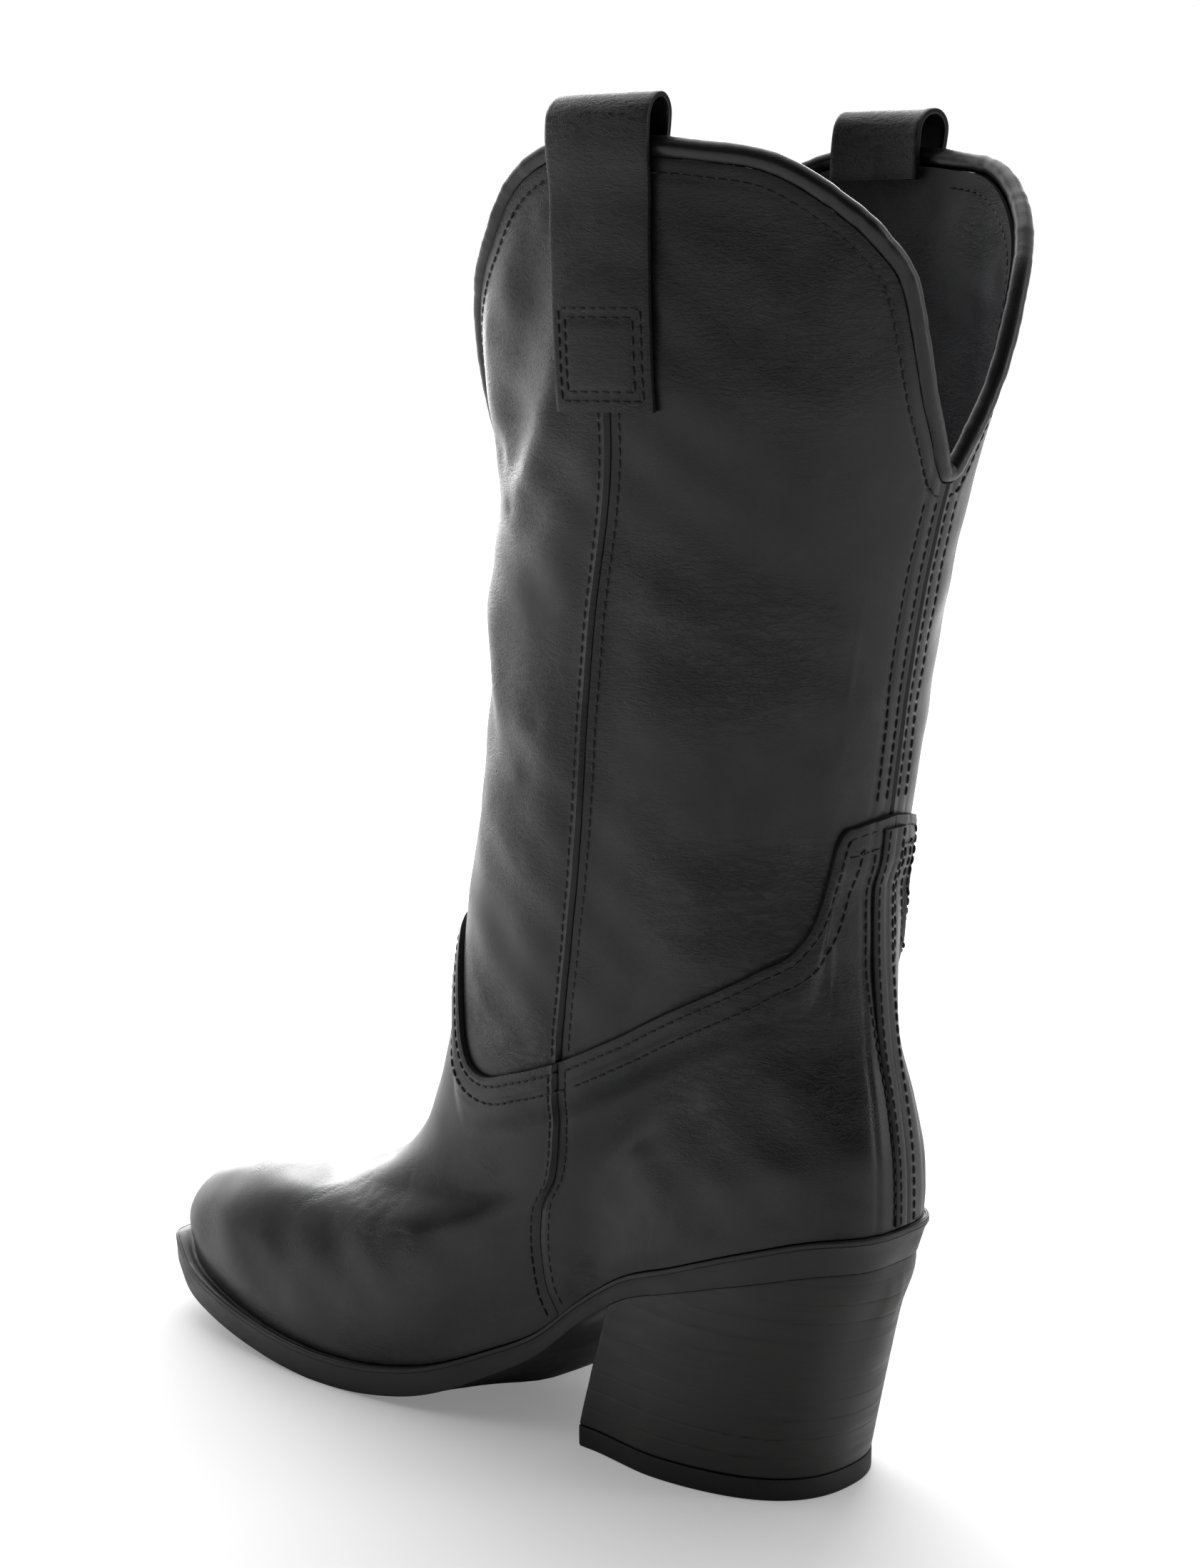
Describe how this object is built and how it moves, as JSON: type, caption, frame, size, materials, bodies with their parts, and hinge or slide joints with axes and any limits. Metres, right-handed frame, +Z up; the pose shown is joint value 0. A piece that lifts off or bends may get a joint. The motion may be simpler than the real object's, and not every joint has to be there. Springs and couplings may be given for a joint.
{
  "type": "cowboy boot",
  "caption": "Right pull-on western boot in smooth black leather, with a scalloped shaft, two pull straps, a pointed-round toe and a high slanted block heel.",
  "frame": {"origin": "centre of the boot's bounding box, on the ground under the heel's top lift", "axes": "+Z up the shaft, the toe points to -Y, +X is the inner side of the foot"},
  "size_m": [0.133, 0.2876, 0.3695],
  "materials": {
    "black_leather": "smooth full-grain leather, soft satin sheen, black",
    "edge_leather": "thin black leather rolled over a cord, satin",
    "lining_leather": "matt blue-black lining leather",
    "seam_tape": "woven stay tape, matt black",
    "stiffener_board": "pressed fibre stiffener, matt tan",
    "sole_rubber": "moulded black rubber, matt",
    "stacked_heel": "black stacked-look heel, matt with faint layer lines",
    "insole_fibre": "pressed fibre insole board, matt brown",
    "cork": "pressed cork filler, matt",
    "steel": "plain spring steel"
  },
  "bodies": {
    "root": {"vamp": "black_leather", "counter_inner": "black_leather", "counter_outer": "black_leather", "shaft_front": "black_leather", "shaft_back_inner": "black_leather", "shaft_back_outer": "black_leather", "heel_backstay": "black_leather", "collar_piping": "edge_leather", "pull_strap_inner": "black_leather", "pull_strap_outer": "black_leather", "shaft_lining_front": "lining_leather", "shaft_lining_back": "lining_leather", "vamp_lining": "lining_leather", "heel_lining": "lining_leather", "toe_puff": "stiffener_board", "heel_counter_stiffener": "stiffener_board", "side_seam_tape_inner": "seam_tape", "side_seam_tape_outer": "seam_tape", "back_seam_tape": "seam_tape", "outsole": "sole_rubber", "shank_filler": "cork", "insole_board": "insole_fibre", "sock_lining": "lining_leather", "steel_shank": "steel", "heel_block": "stacked_heel", "heel_top_lift": "sole_rubber", "heel_screw": "steel", "heel_nail_1": "steel", "heel_nail_2": "steel", "heel_nail_3": "steel", "heel_nail_4": "steel"}
  },
  "joints": []
}
